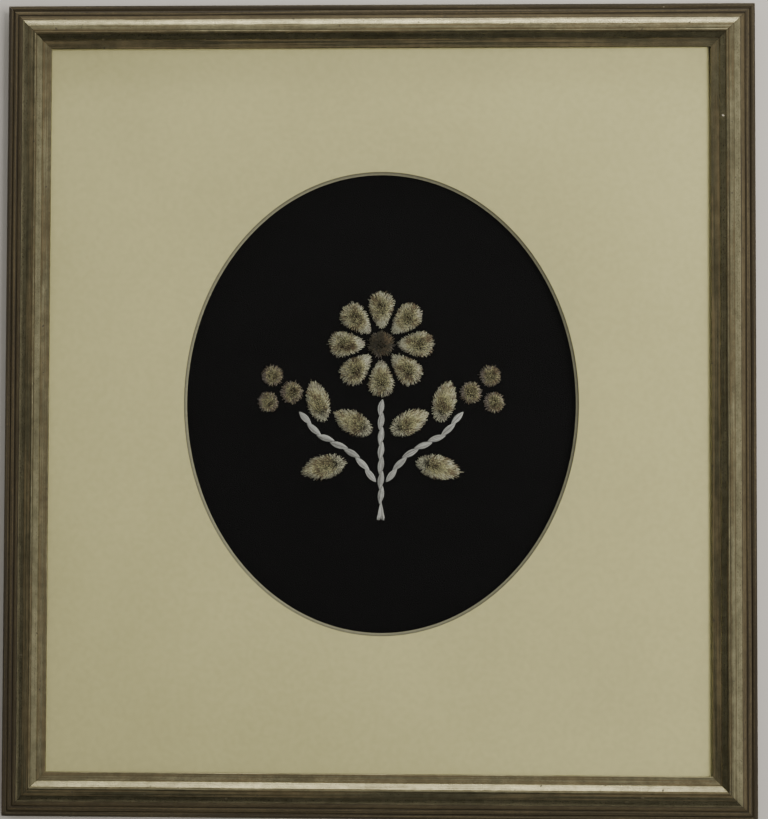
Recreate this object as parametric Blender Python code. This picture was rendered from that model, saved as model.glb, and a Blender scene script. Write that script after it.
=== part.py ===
"""Framed moose hair tufting: a spray of trimmed hair tufts and couched stems on black velvet.

The velvet lies on a board behind a cream mat with an oval window, under glass, in a silvered
wood moulding mitred at the corners. Metres, +Z up. The picture lies on its back with its own
top towards +Y, and the origin is at the middle of the back.
"""

import math
import random
from collections import namedtuple

import bmesh
import bpy
from mathutils import Vector

# Driving sizes of the frame
SIGHT_WIDTH = 0.2990
SIGHT_HEIGHT = 0.3276
RAIL_WIDTH = 0.0207
FIT_GAP = 0.0003
EDGE_GAP = 0.0004

# Thicknesses of what lies in the frame, from the back to the front
BACKING_THICKNESS = 0.0030
CLOTH_THICKNESS = 0.0012
LEDGE_HEIGHT = 0.0038
MAT_THICKNESS = 0.0014
GLASS_THICKNESS = 0.0020

# Depths cut into each rail, measured inwards from its outer edge
REBATE_WALL = 0.0147
GROOVE_WALL = 0.0165
LEDGE_EDGE = 0.0191

# Round bead on each rail's outer edge, and round corner at its sight edge
BEAD_RADIUS = 0.0013
BEAD_HEIGHT = 0.0100
BEAD_SWEEP = (180, 15)
LIP_HEIGHT = 0.0137
LIP_ROUND = 0.0004
LIP_SWEEP = (90, 0)
ARC_STEPS = 7
EDGE_STEPS = 3

# Faces between them, in from the outer edge: distances from it, heights over the back, how much
# the face swells, and how deep a groove is cut before it
Face = namedtuple("Face", "start end start_height end_height swell groove")
FACES = (
    Face(0.0028, 0.0048, 0.0114, 0.0117, 0.00028, 0.0005),
    Face(0.0050, 0.0075, 0.0119, 0.0149, 0.00020, 0.0005),
    Face(0.0076, 0.0106, 0.0150, 0.0168, 0.00016, 0.0002),
    Face(0.0107, 0.0131, 0.0169, 0.0174, 0.00010, 0.0003),
    Face(0.0133, 0.0144, 0.0174, 0.0173, 0.00020, 0.0004),
    Face(0.0146, 0.0169, 0.0170, 0.0150, -0.00004, 0.0004),
    Face(0.0170, 0.0203, 0.0147, 0.0137, -0.00008, 0.0002),
)
FACE_STEPS = 4

# Oval window of the mat, cut a little above and beside the middle
OVAL_WIDTH = 0.1788
OVAL_HEIGHT = 0.2102
OVAL_OFFSET = (0.0010, 0.0026)
OVAL_STEPS = 96

# Tufts: share of the outline and of the height at each ring, from the foot to the top
Ring = namedtuple("Ring", "spread rise")
TUFT_RINGS = (
    Ring(0.80, 0.0),
    Ring(1.0, 0.24),
    Ring(0.95, 0.52),
    Ring(0.78, 0.80),
    Ring(0.48, 0.96),
)
TUFT_STEPS = 32
SERRATION = 0.022
UNEVENNESS = 0.020
SEED = 11

# Flower, placed from the middle of the oval
FLOWER_MIDDLE = (0.0, 0.0270)
PETAL_COUNT = 8
PETAL_START = 0.0069
PETAL_LENGTH = 0.0175
PETAL_WIDTH = 0.0117
PETAL_FULLNESS = 0.40
PETAL_HEIGHT = 0.0050
CENTRE_RADIUS = 0.0062

# Leaves of one side, placed from the middle of the oval, their tips turned by degrees
Leaf = namedtuple("Leaf", "name x y length width direction")
LEAVES = (
    Leaf("upper", 0.0130, -0.0086, 0.0200, 0.0112, 28.0),
    Leaf("middle", 0.0288, 0.0010, 0.0200, 0.0112, 74.0),
    Leaf("lower", 0.0262, -0.0290, 0.0215, 0.0118, -14.0),
)
LEAF_HEIGHT = 0.0045
LEAF_POINT = 0.45

# Berries of one side, placed from the middle of the oval
Berry = namedtuple("Berry", "name x y radius")
BERRIES = (
    Berry("inner", 0.0408, 0.0050, 0.0054),
    Berry("outer", 0.0514, 0.0006, 0.0050),
    Berry("top", 0.0496, 0.0126, 0.0051),
)
BERRY_HEIGHT = 0.0046

# Stems: middle lines from the foot to the tip, and the stitches along them
MAIN_STEM = ((0.0, -0.0515), (0.0, -0.0380), (0.0, -0.0250), (0.0, -0.0110), (0.0, 0.0019))
SIDE_STEM = ((0.0029, -0.0360), (0.0090, -0.0262), (0.0185, -0.0190), (0.0285, -0.0145), (0.0368, -0.0035))
PATH_STEPS = 24
STITCH_LENGTH = 0.0070
STITCH_WIDTH = 0.0032
PINCH_WIDTH = 0.0017
SPLAY_WIDTH = 0.0042
STITCH_FLATNESS = 0.72
STITCH_FULLNESS = 0.7
STITCH_SHARES = (0.0, 0.22, 0.5, 0.78)
STEM_SIDES = 8

# Finishes: linear colour, roughness, metallic and transmission
Finish = namedtuple("Finish", "colour roughness metallic transmission", defaults=(0.0, 0.0))
FINISHES = {
    "antique silver leaf": Finish((0.40, 0.36, 0.25), 0.42, 0.75),
    "brown fibreboard": Finish((0.26, 0.17, 0.09), 0.85),
    "black velvet": Finish((0.006, 0.006, 0.007), 0.95),
    "cream mat board": Finish((0.50, 0.45, 0.31), 0.85),
    "clear glass": Finish((0.95, 0.97, 0.96), 0.03, 0.0, 1.0),
    "cream moose hair": Finish((0.36, 0.31, 0.18), 0.75),
    "dark brown moose hair": Finish((0.035, 0.026, 0.018), 0.75),
    "grey brown moose hair": Finish((0.12, 0.10, 0.075), 0.75),
    "white moose hair": Finish((0.50, 0.48, 0.38), 0.65),
}

# Angles past which an edge is left sharp, in degrees
RAIL_EDGE = 28
MAT_EDGE = 30
STEM_EDGE = 50
TUFT_EDGE = 60

# Sizes worked out from the driving sizes
OUTER_WIDTH = SIGHT_WIDTH + 2 * RAIL_WIDTH
OUTER_HEIGHT = SIGHT_HEIGHT + 2 * RAIL_WIDTH
CLOTH_LEVEL = BACKING_THICKNESS + FIT_GAP
TUFT_LEVEL = CLOTH_LEVEL + CLOTH_THICKNESS + FIT_GAP
MAT_LEVEL = TUFT_LEVEL + LEDGE_HEIGHT + FIT_GAP
GLASS_LEVEL = MAT_LEVEL + MAT_THICKNESS + FIT_GAP
LIP_UNDERSIDE = GLASS_LEVEL + GLASS_THICKNESS + FIT_GAP
MITRE_SETBACK = FIT_GAP / 2 * math.sqrt(2)


def clear_scene():
    for item in list(bpy.data.objects):
        bpy.data.objects.remove(item, do_unlink=True)


def finish_material(name):
    """The material NAME, made on its first use."""
    material = bpy.data.materials.get(name)
    if material is None:
        finish = FINISHES[name]
        material = bpy.data.materials.new(name)
        material.use_nodes = True
        shader = material.node_tree.nodes["Principled BSDF"]
        shader.inputs["Base Color"].default_value = (*finish.colour, 1.0)
        shader.inputs["Roughness"].default_value = finish.roughness
        shader.inputs["Metallic"].default_value = finish.metallic
        shader.inputs["Transmission Weight"].default_value = finish.transmission
        material.diffuse_color = (*finish.colour, 1.0)
    return material


def make_object(name, work, finish, smooth_angle=None):
    """Turns the bmesh WORK into an object with outward faces."""
    bmesh.ops.recalc_face_normals(work, faces=work.faces)
    mesh = bpy.data.meshes.new(name)
    work.to_mesh(mesh)
    work.free()
    mesh.materials.append(finish_material(finish))
    if smooth_angle is not None:
        mesh.shade_smooth()
        mesh.set_sharp_from_angle(angle=math.radians(smooth_angle))
    item = bpy.data.objects.new(name, mesh)
    bpy.context.scene.collection.objects.link(item)
    return item


def bridge(work, lower, upper):
    """Joins two rings of as many points with four-sided faces."""
    count = len(lower)
    for i in range(count):
        j = (i + 1) % count
        work.faces.new((lower[i], lower[j], upper[j], upper[i]))


def arc(middle, radii, sweep, steps):
    """Points of an ellipse's arc, over the degrees in SWEEP."""
    points = []
    for i in range(steps + 1):
        angle = math.radians(sweep[0] + (sweep[1] - sweep[0]) * i / steps)
        across = middle[0] + radii[0] * math.cos(angle)
        up = middle[1] + radii[1] * math.sin(angle)
        points.append((across, up))
    return points


def face_points(face):
    """Section of one face, after the narrow groove on its outer side."""
    points = [(face.start, face.start_height - face.groove)]
    for i in range(FACE_STEPS + 1):
        share = i / FACE_STEPS
        across = face.start + (face.end - face.start) * share
        level = face.start_height + (face.end_height - face.start_height) * share
        points.append((across, level + face.swell * math.sin(math.pi * share)))
    return points


def rail_profile():
    """Section of a rail: distance from its outer edge, and height over the back."""
    points = [(0.0, 0.0)]
    points += arc((BEAD_RADIUS, BEAD_HEIGHT), (BEAD_RADIUS, BEAD_RADIUS), BEAD_SWEEP, ARC_STEPS)
    for face in FACES:
        points += face_points(face)
    lip_corner = (RAIL_WIDTH - LIP_ROUND, LIP_HEIGHT - LIP_ROUND)
    points += arc(lip_corner, (LIP_ROUND, LIP_ROUND), LIP_SWEEP, EDGE_STEPS)[1:]
    points += [
        (RAIL_WIDTH, LIP_UNDERSIDE),
        (GROOVE_WALL, LIP_UNDERSIDE),
        (GROOVE_WALL, MAT_LEVEL - FIT_GAP),
        (LEDGE_EDGE, MAT_LEVEL - FIT_GAP),
        (LEDGE_EDGE, TUFT_LEVEL),
        (REBATE_WALL, TUFT_LEVEL),
        (REBATE_WALL, 0.0),
    ]
    return points


def make_rail(name, length, place, turn):
    """A rail along its own X, its outer edge at its own Y = 0, with mitred ends."""
    work = bmesh.new()
    rings = []
    for side in (-1, 1):
        ring = []
        for depth, height in rail_profile():
            end = length / 2 - depth - MITRE_SETBACK
            ring.append(work.verts.new((side * end, depth, height)))
        rings.append(ring)
    bridge(work, rings[0], rings[1])
    work.faces.new(rings[0])
    work.faces.new(rings[1])
    rail = make_object(name, work, "antique silver leaf", RAIL_EDGE)
    rail.location = (place[0], place[1], 0.0)
    rail.rotation_euler = (0.0, 0.0, math.radians(turn))


def make_slab(name, width, height, level, thickness, finish):
    """A flat sheet centred on the frame, its lower face at LEVEL."""
    work = bmesh.new()
    corners = ((-width, -height), (width, -height), (width, height), (-width, height))
    rings = []
    for z in (0.0, thickness):
        rings.append([work.verts.new((x / 2, y / 2, z)) for x, y in corners])
    bridge(work, rings[0], rings[1])
    work.faces.new(rings[0])
    work.faces.new(rings[1])
    slab = make_object(name, work, finish)
    slab.location = (0.0, 0.0, level)


def oval_ring(work, inset, z):
    """Points of the oval window, INSET from its front edge."""
    ring = []
    for i in range(OVAL_STEPS):
        angle = 2 * math.pi * i / OVAL_STEPS
        x = OVAL_OFFSET[0] + (OVAL_WIDTH / 2 - inset) * math.cos(angle)
        y = OVAL_OFFSET[1] + (OVAL_HEIGHT / 2 - inset) * math.sin(angle)
        ring.append(work.verts.new((x, y, z)))
    return ring


def board_ring(work, width, height, z):
    """Points on the mat's outer edge, one for each point of the oval."""
    ring = []
    half_side = OVAL_STEPS // 8
    for i in range(OVAL_STEPS):
        side, step = divmod(i + half_side, 2 * half_side)
        share = step / half_side - 1.0
        along = ((1.0, share), (-share, 1.0), (-1.0, -share), (share, -1.0))[side % 4]
        ring.append(work.verts.new((along[0] * width / 2, along[1] * height / 2, z)))
    return ring


def make_mat(width, height):
    """The board with its bevelled oval window, which narrows to the back."""
    work = bmesh.new()
    outer_back = board_ring(work, width, height, 0.0)
    outer_front = board_ring(work, width, height, MAT_THICKNESS)
    oval_front = oval_ring(work, 0.0, MAT_THICKNESS)
    oval_back = oval_ring(work, MAT_THICKNESS, 0.0)
    bridge(work, outer_back, outer_front)
    bridge(work, outer_front, oval_front)
    bridge(work, oval_front, oval_back)
    bridge(work, oval_back, outer_back)
    mat = make_object("mat", work, "cream mat board", MAT_EDGE)
    mat.location = (0.0, 0.0, MAT_LEVEL)


def petal_outline(angle):
    """An egg, with its full end outwards."""
    x = PETAL_LENGTH / 2 * math.cos(angle)
    y = PETAL_WIDTH / 2 * math.sin(angle) * (1 + PETAL_FULLNESS * math.cos(angle))
    return x, y


def leaf_outline(length, width):
    """A leaf with a rounded foot and a pointed end."""

    def point(angle):
        narrowing = abs(math.sin(angle)) ** LEAF_POINT if math.cos(angle) > 0 else 1.0
        return length / 2 * math.cos(angle), width / 2 * math.sin(angle) * narrowing

    return point


def round_outline(radius):
    """A circle."""

    def point(angle):
        return radius * math.cos(angle), radius * math.sin(angle)

    return point


def make_tuft(name, outline, height, middle, turn, finish, chance):
    """A trimmed dome of hair over OUTLINE, with a jagged rim drawn in at its foot.

    MIDDLE is measured from the middle of the oval, and TURN is in degrees.
    """
    work = bmesh.new()
    swell = [1 + chance.uniform(-UNEVENNESS, UNEVENNESS) for _ in range(TUFT_STEPS)]
    rings = []
    for spread, rise in TUFT_RINGS:
        ring = []
        for i in range(TUFT_STEPS):
            x, y = outline(2 * math.pi * i / TUFT_STEPS)
            jag = 1 + SERRATION * spread * (-1) ** i
            reach = spread * jag * swell[i]
            ring.append(work.verts.new((x * reach, y * reach, rise * height)))
        rings.append(ring)
    work.faces.new(rings[0])
    for lower, upper in zip(rings, rings[1:]):
        bridge(work, lower, upper)
    top = work.verts.new((0.0, 0.0, height))
    for i in range(TUFT_STEPS):
        work.faces.new((rings[-1][i], rings[-1][(i + 1) % TUFT_STEPS], top))
    tuft = make_object(name, work, finish, TUFT_EDGE)
    tuft.location = (OVAL_OFFSET[0] + middle[0], OVAL_OFFSET[1] + middle[1], TUFT_LEVEL)
    tuft.rotation_euler = (0.0, 0.0, math.radians(turn))


def smooth_path(route, mirror):
    """Close points of a smooth curve through ROUTE, with X times MIRROR."""
    knots = [Vector((mirror * x, y, 0.0)) for x, y in route]
    knots = [2 * knots[0] - knots[1], *knots, 2 * knots[-1] - knots[-2]]
    fine = []
    for a, b, c, d in zip(knots, knots[1:], knots[2:], knots[3:]):
        for i in range(PATH_STEPS):
            t = i / PATH_STEPS
            linear = (c - a) * t
            square = (2 * a - 5 * b + 4 * c - d) * t**2
            cube = (3 * b - a - 3 * c + d) * t**3
            fine.append(b + (linear + square + cube) / 2)
    fine.append(knots[-2])
    return fine


def point_on(path, distance):
    """Place and direction at DISTANCE along PATH."""
    for start, end in zip(path, path[1:]):
        step = (end - start).length
        if distance <= step:
            return start.lerp(end, distance / step), (end - start).normalized()
        distance -= step
    return path[-1], (path[-1] - path[-2]).normalized()


def stem_ring(work, place, forward, half_width):
    """One flattened ring of a stem, standing on the ground."""
    half_height = STITCH_FLATNESS * min(half_width, STITCH_WIDTH / 2)
    across = Vector((-forward.y, forward.x, 0.0))
    ring = []
    for i in range(STEM_SIDES):
        angle = 2 * math.pi * (i + 0.5) / STEM_SIDES
        lift = half_height * (math.sin(angle) + math.cos(math.pi / STEM_SIDES))
        point = place + across * half_width * math.cos(angle)
        ring.append(work.verts.new((point.x, point.y, lift)))
    return ring


def make_stem(name, route, mirror, foot_width):
    """Bundled hair couched at even steps: a row of spindles, FOOT_WIDTH wide at the foot."""
    path = smooth_path(route, mirror)
    length = sum((end - start).length for start, end in zip(path, path[1:]))
    stitches = round(length / STITCH_LENGTH)
    shares = [(i + part) / stitches for i in range(stitches) for part in STITCH_SHARES]
    work = bmesh.new()
    rings = []
    for share in [*shares, 1.0]:
        fullness = abs(math.sin(math.pi * share * stitches)) ** STITCH_FULLNESS
        half_width = (PINCH_WIDTH + (STITCH_WIDTH - PINCH_WIDTH) * fullness) / 2
        if not rings:
            half_width = foot_width / 2
        place, forward = point_on(path, share * length)
        rings.append(stem_ring(work, place, forward, half_width))
    for lower, upper in zip(rings, rings[1:]):
        bridge(work, lower, upper)
    work.faces.new(rings[0])
    work.faces.new(rings[-1])
    stem = make_object(name, work, "white moose hair", STEM_EDGE)
    stem.location = (OVAL_OFFSET[0], OVAL_OFFSET[1], TUFT_LEVEL)


def make_frame():
    half_width = OUTER_WIDTH / 2
    half_height = OUTER_HEIGHT / 2
    make_rail("rail_bottom", OUTER_WIDTH, (0.0, -half_height), 0)
    make_rail("rail_right", OUTER_HEIGHT, (half_width, 0.0), 90)
    make_rail("rail_top", OUTER_WIDTH, (0.0, half_height), 180)
    make_rail("rail_left", OUTER_HEIGHT, (-half_width, 0.0), 270)


def make_sheets():
    """Backing board, velvet, mat and glass, each with a little room in its rebate or groove."""
    rebate_width = OUTER_WIDTH - 2 * (REBATE_WALL + EDGE_GAP)
    rebate_height = OUTER_HEIGHT - 2 * (REBATE_WALL + EDGE_GAP)
    groove_width = OUTER_WIDTH - 2 * (GROOVE_WALL + EDGE_GAP)
    groove_height = OUTER_HEIGHT - 2 * (GROOVE_WALL + EDGE_GAP)
    make_slab("backing_board", rebate_width, rebate_height, 0.0, BACKING_THICKNESS, "brown fibreboard")
    make_slab("ground_cloth", rebate_width, rebate_height, CLOTH_LEVEL, CLOTH_THICKNESS, "black velvet")
    make_mat(groove_width, groove_height)
    make_slab("glass", groove_width, groove_height, GLASS_LEVEL, GLASS_THICKNESS, "clear glass")


def make_flower(chance):
    """Petals in a ring about a dark middle, the first one upright."""
    reach = PETAL_START + PETAL_LENGTH / 2
    for i in range(PETAL_COUNT):
        turn = 90 + 360 * i / PETAL_COUNT
        x = FLOWER_MIDDLE[0] + reach * math.cos(math.radians(turn))
        y = FLOWER_MIDDLE[1] + reach * math.sin(math.radians(turn))
        make_tuft(f"petal_{i + 1}", petal_outline, PETAL_HEIGHT, (x, y), turn, "cream moose hair", chance)
    outline = round_outline(CENTRE_RADIUS)
    make_tuft("flower_centre", outline, PETAL_HEIGHT, FLOWER_MIDDLE, 0, "dark brown moose hair", chance)


def make_side(side, mirror, chance):
    """Leaves, berries and stem of one side of the spray."""
    for leaf in LEAVES:
        turn = leaf.direction if mirror > 0 else 180 - leaf.direction
        outline = leaf_outline(leaf.length, leaf.width)
        middle = (mirror * leaf.x, leaf.y)
        make_tuft(f"leaf_{side}_{leaf.name}", outline, LEAF_HEIGHT, middle, turn, "cream moose hair", chance)
    for berry in BERRIES:
        name = f"berry_{side}_{berry.name}"
        outline = round_outline(berry.radius)
        middle = (mirror * berry.x, berry.y)
        make_tuft(name, outline, BERRY_HEIGHT, middle, 0, "grey brown moose hair", chance)
    make_stem(f"stem_{side}", SIDE_STEM, mirror, PINCH_WIDTH)


def make_spray():
    chance = random.Random(SEED)
    make_flower(chance)
    make_stem("stem_middle", MAIN_STEM, 1, SPLAY_WIDTH)
    make_side("right", 1, chance)
    make_side("left", -1, chance)


def main():
    clear_scene()
    make_frame()
    make_sheets()
    make_spray()


main()
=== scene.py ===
"""Looks of the framed hair tufting: silvered moulding, glass, mat, velvet, tufts and stems.

Metres, +Z up. The picture lies on its back, its own top towards +Y, and the origin is at the
middle of its back. Every piece is built where its plain solid lies, and stands for it.
"""

import math
from collections import namedtuple

import bmesh
import bpy
from bpy.props import FloatProperty, FloatVectorProperty, IntProperty, PointerProperty
from mathutils import Matrix, Vector


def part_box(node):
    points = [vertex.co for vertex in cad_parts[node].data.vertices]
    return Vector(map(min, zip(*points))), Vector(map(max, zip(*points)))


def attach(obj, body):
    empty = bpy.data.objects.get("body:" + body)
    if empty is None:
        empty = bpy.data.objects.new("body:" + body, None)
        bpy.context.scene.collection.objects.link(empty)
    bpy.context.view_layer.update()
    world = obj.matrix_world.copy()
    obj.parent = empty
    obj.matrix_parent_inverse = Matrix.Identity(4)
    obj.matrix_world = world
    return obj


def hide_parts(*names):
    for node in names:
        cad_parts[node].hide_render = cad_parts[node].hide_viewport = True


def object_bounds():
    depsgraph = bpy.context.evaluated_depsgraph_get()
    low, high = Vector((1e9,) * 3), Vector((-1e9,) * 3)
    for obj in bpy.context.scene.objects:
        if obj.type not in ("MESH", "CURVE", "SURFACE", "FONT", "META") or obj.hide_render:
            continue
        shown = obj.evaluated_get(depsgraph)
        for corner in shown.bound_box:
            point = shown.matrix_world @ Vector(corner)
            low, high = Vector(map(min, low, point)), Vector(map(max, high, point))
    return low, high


bl_info = {
    "name": "Framed hair tufting",
    "version": (1, 0, 0),
    "blender": (4, 5, 0),
    "location": "3D View > Sidebar > Hair tufting",
    "description": "Builds a picture of trimmed hair tufts and couched hair stems in its frame",
    "category": "Object",
}

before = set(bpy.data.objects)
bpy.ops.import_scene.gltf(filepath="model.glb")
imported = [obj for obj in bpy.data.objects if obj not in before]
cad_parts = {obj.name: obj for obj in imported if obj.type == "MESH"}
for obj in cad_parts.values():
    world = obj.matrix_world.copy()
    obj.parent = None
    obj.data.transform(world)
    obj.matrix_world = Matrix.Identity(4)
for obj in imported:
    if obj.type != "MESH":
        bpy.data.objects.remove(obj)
CAD_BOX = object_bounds()

# Levels and faces of the plain solids, over the back of the picture
CLOTH_LOW, CLOTH_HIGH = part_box("ground_cloth")
MAT_LOW, MAT_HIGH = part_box("mat")
GLASS_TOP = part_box("glass")[1].z
OUTER_WIDTH = CAD_BOX[1][0] - CAD_BOX[0][0]
OUTER_HEIGHT = CAD_BOX[1][1] - CAD_BOX[0][1]
PILE_GRIP = 0.0002

# Section of a rail: distances from its outer edge and heights over the back
RAIL_WIDTH = 0.0207
BEAD_RADIUS = 0.0013
BEAD_HEIGHT = 0.0100
LIP_HEIGHT = 0.0137
LIP_ROUND = 0.0004
REBATE_WALL = 0.0147
GROOVE_WALL = 0.0165
LEDGE_EDGE = 0.0191
SEAT_GAP = 0.0003
GROOVE_FLOOR = MAT_LOW.z - SEAT_GAP
GROOVE_ROOF = GLASS_TOP + SEAT_GAP
REBATE_ROOF = CLOTH_HIGH.z + SEAT_GAP

# How much shorter each end of a rail is cut at its mitre, and the shift between two rails' streaks
MITRE_SETBACK = 0.00008
STREAK_SHIFT = 0.7

# Faces between the outer bead and the sight edge, with how grimy each one is
Face = namedtuple("Face", "start end start_height end_height swell groove grime")
FACES = (
    Face(0.0028, 0.0048, 0.0114, 0.0117, 0.00028, 0.0005, 0.86),
    Face(0.0050, 0.0075, 0.0119, 0.0149, 0.00020, 0.0005, 0.76),
    Face(0.0076, 0.0106, 0.0150, 0.0168, 0.00016, 0.0002, 0.06),
    Face(0.0107, 0.0131, 0.0169, 0.0174, 0.00010, 0.0003, 0.38),
    Face(0.0133, 0.0144, 0.0174, 0.0173, 0.00020, 0.0004, 0.38),
    Face(0.0146, 0.0169, 0.0170, 0.0150, -0.00004, 0.0004, 0.12),
    Face(0.0170, 0.0203, 0.0147, 0.0137, -0.00008, 0.0002, 0.42),
)

# Oval window of the mat and its middle, from which the hair work is placed
OVAL_WIDTH = 0.1788
OVAL_HEIGHT = 0.2102
OVAL_MIDDLE = Vector((0.0010, 0.0026, 0.0))

# Flower: petals in a ring about a dark middle
FLOWER_MIDDLE = Vector((0.0, 0.0270, 0.0))
PETAL_COUNT = 8
PETAL_START = 0.0069
PETAL_SIZE = (0.0175, 0.0117)
PETAL_FULLNESS = 0.40
PETAL_RISE = 0.0050
CENTRE_SIZE = (0.0124, 0.0124)

# Leaves and berries of the right side; the left side mirrors them
Leaf = namedtuple("Leaf", "name x y length width direction")
LEAVES = (
    Leaf("upper", 0.0130, -0.0086, 0.0200, 0.0112, 28.0),
    Leaf("middle", 0.0288, 0.0010, 0.0200, 0.0112, 74.0),
    Leaf("lower", 0.0262, -0.0290, 0.0215, 0.0118, -14.0),
)
LEAF_POINT = 0.45
LEAF_RISE = 0.0045
Berry = namedtuple("Berry", "name x y radius")
BERRIES = (
    Berry("inner", 0.0408, 0.0050, 0.0054),
    Berry("outer", 0.0514, 0.0006, 0.0050),
    Berry("top", 0.0496, 0.0126, 0.0051),
)
BERRY_RISE = 0.0046

# Stems, from the foot to the tip
MAIN_STEM = ((0.0, -0.0515), (0.0, -0.0380), (0.0, -0.0250), (0.0, -0.0110), (0.0, 0.0019))
SIDE_STEM = (
    (0.0029, -0.0360),
    (0.0090, -0.0262),
    (0.0185, -0.0190),
    (0.0285, -0.0145),
    (0.0368, -0.0035),
)
PATH_STEPS = 24
STITCH_LENGTH = 0.0070

# Seeds of the chance in the tufts, which the set seed is added to, and in the stems
CENTRE_SEED = 300
LEAF_SEED = 400
BERRY_SEED = 600
LEFT_SIDE_SEED = 70
TUFT_SEED_STEP = 20
STEM_SEED = 900
STEM_SEED_STEP = 10

# Studio: MIRRORED says whether the glass and the metal mirror a lamp
Lamp = namedtuple("Lamp", "name place target size tone mirrored")
LAMPS = (
    Lamp("far_lamp", (0.0, 1.60, 0.43), (0.0, 0.0, 0.01), (1.00, 0.20), (1.0, 0.955, 0.83), True),
    Lamp("side_lamp", (0.50, 0.08, 1.02), (0.60, 0.80, 0.01), (0.50, 0.60), (1.0, 0.94, 0.875), False),
    Lamp("fill_lamp", (-0.1, 0.4, 1.2), (-0.1, 0.4, 0.0), (2.0, 2.0), (1.0, 0.95, 0.90), False),
)
ROOM_TONE = (1.0, 0.97, 0.90, 1.0)
FLOOR_RADIUS = 4.0
FLOOR_DROP = 0.0002
CAMERA_PLACE = (0.02374, -0.02443, 0.78197)
CAMERA_TURN = (0.03136, 0.02751, 0.00283)

GOLDEN_ANGLE = math.pi * (3 - math.sqrt(5))


def colour(name, default, description):
    return FloatVectorProperty(
        name=name, description=description, default=default, subtype="COLOR", size=3, min=0.0, max=1.0
    )


def distance(name, default, description):
    return FloatProperty(
        name=name, description=description, default=default, unit="LENGTH", subtype="DISTANCE", precision=5
    )


def amount(name, default, description):
    return FloatProperty(name=name, description=description, default=default, min=0.0)


def number(name, default, description):
    return IntProperty(name=name, description=description, default=default, min=1)


class RailSettings(bpy.types.PropertyGroup):
    """Silvered moulding."""

    leaf: colour("Silver leaf", (0.51, 0.475, 0.295), "Clean leaf on the reeds")
    glaze: colour("Glaze", (0.165, 0.135, 0.072), "Warm brown glaze over the leaf")
    grime: colour("Grime", (0.032, 0.027, 0.018), "Dark rest of the glaze in the quirks")
    chip: colour("Chips", (0.55, 0.52, 0.44), "Pale ground that shows where the leaf is chipped")
    wood: colour("Bare wood", (0.32, 0.21, 0.115), "Wood on the back and in the rebate")
    wear: distance("Wear", 0.00005, "How far the leaf's face has sunk between its high places")
    steps: number("Steps", 150, "Sections along each rail")


class MatSettings(bpy.types.PropertyGroup):
    """Mat board."""

    paper: colour("Paper", (0.612, 0.572, 0.300), "Face paper")
    core: colour("Core", (0.26, 0.25, 0.175), "Pale core that the bevel bares")
    steps: number("Steps", 288, "Points round the oval window")
    edge: distance("Edge", 0.00012, "Roundness of the window's front edge")


class GlassSettings(bpy.types.PropertyGroup):
    """Picture glass."""

    tint: colour("Tint", (0.97, 0.985, 0.975), "Faint green of plain glass")
    waviness: amount("Waviness", 0.025, "How much the drawn glass bends reflections")


class VelvetSettings(bpy.types.PropertyGroup):
    """Black velvet and the board behind it."""

    pile: colour("Pile", (0.0024, 0.0023, 0.0027), "Velvet pile")
    # Painted sheen: a lighter colour where the pile is brushed up, standing in for the light it catches.
    painted_sheen_tone: colour("Painted sheen", (0.012, 0.012, 0.013), "Pile that is brushed up")
    swell: distance("Swell", 0.00012, "Soft rise and fall of the velvet over its board")
    steps: number("Steps", 150, "Squares across the velvet")
    board: colour("Backing board", (0.27, 0.18, 0.095), "Brown fibreboard")


class HairSettings(bpy.types.PropertyGroup):
    """Trimmed tufts of hair."""

    cream: colour("Cream", (0.62, 0.62, 0.485), "Pale hair at the rim of a tuft")
    olive: colour("Olive", (0.595, 0.57, 0.345), "Yellowish cut ends in the middle of a tuft")
    brown: colour("Brown", (0.22, 0.165, 0.105), "Brown hair in patches")
    mauve: colour("Mauve grey", (0.32, 0.28, 0.25), "Greyish hair in patches")
    dark: colour("Dark", (0.088, 0.081, 0.058), "Dark hair of the flower's middle")
    thickness: distance("Hair thickness", 0.00038, "Thickness of one hair at its root")
    per_petal: number("Hairs in a petal", 900, "Hairs in each petal")
    per_leaf: number("Hairs in a leaf", 840, "Hairs in each leaf")
    per_berry: number("Hairs in a berry", 430, "Hairs in each berry")
    per_centre: number("Hairs in the middle", 600, "Hairs in the flower's middle")
    seed: number("Seed", 7, "Start of the chance in the hair")


class StemSettings(bpy.types.PropertyGroup):
    """Couched stems."""

    hair: colour("Stem hair", (0.575, 0.58, 0.57), "Pale hair of the stems")
    strands: number("Strands", 30, "Hairs in one stitch")
    width: distance("Stitch width", 0.0028, "Width of a stitch at its middle")
    height: distance("Stitch height", 0.0019, "Height of a stitch at its middle")
    overlap: amount("Overlap", 0.11, "Share of a stitch that lies beside the next one")
    slant: distance("Slant", 0.00065, "How far each end of a stitch lies off the stem's middle line")


class StudioSettings(bpy.types.PropertyGroup):
    """Floor, lamps and camera."""

    floor: colour("Floor", (0.52, 0.51, 0.48), "Plain pale floor")
    far_lamp: amount("Far lamp", 5.2, "Power of the lamp beyond the picture's top, in watts")
    side_lamp: amount("Side lamp", 15.6, "Power of the lamp at the picture's right, in watts")
    fill_lamp: amount("Fill lamp", 8.0, "Power of the wide soft lamp overhead, in watts")
    sky: amount("Sky", 0.18, "Brightness of the room that the metal mirrors")
    lens: amount("Lens", 75.0, "Focal length in millimetres")


class PictureSettings(bpy.types.PropertyGroup):
    """Everything that can be changed."""

    rails: PointerProperty(type=RailSettings)
    mat: PointerProperty(type=MatSettings)
    glass: PointerProperty(type=GlassSettings)
    velvet: PointerProperty(type=VelvetSettings)
    hair: PointerProperty(type=HairSettings)
    stems: PointerProperty(type=StemSettings)
    studio: PointerProperty(type=StudioSettings)


def settings():
    return bpy.context.scene.hair_tufting


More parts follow.
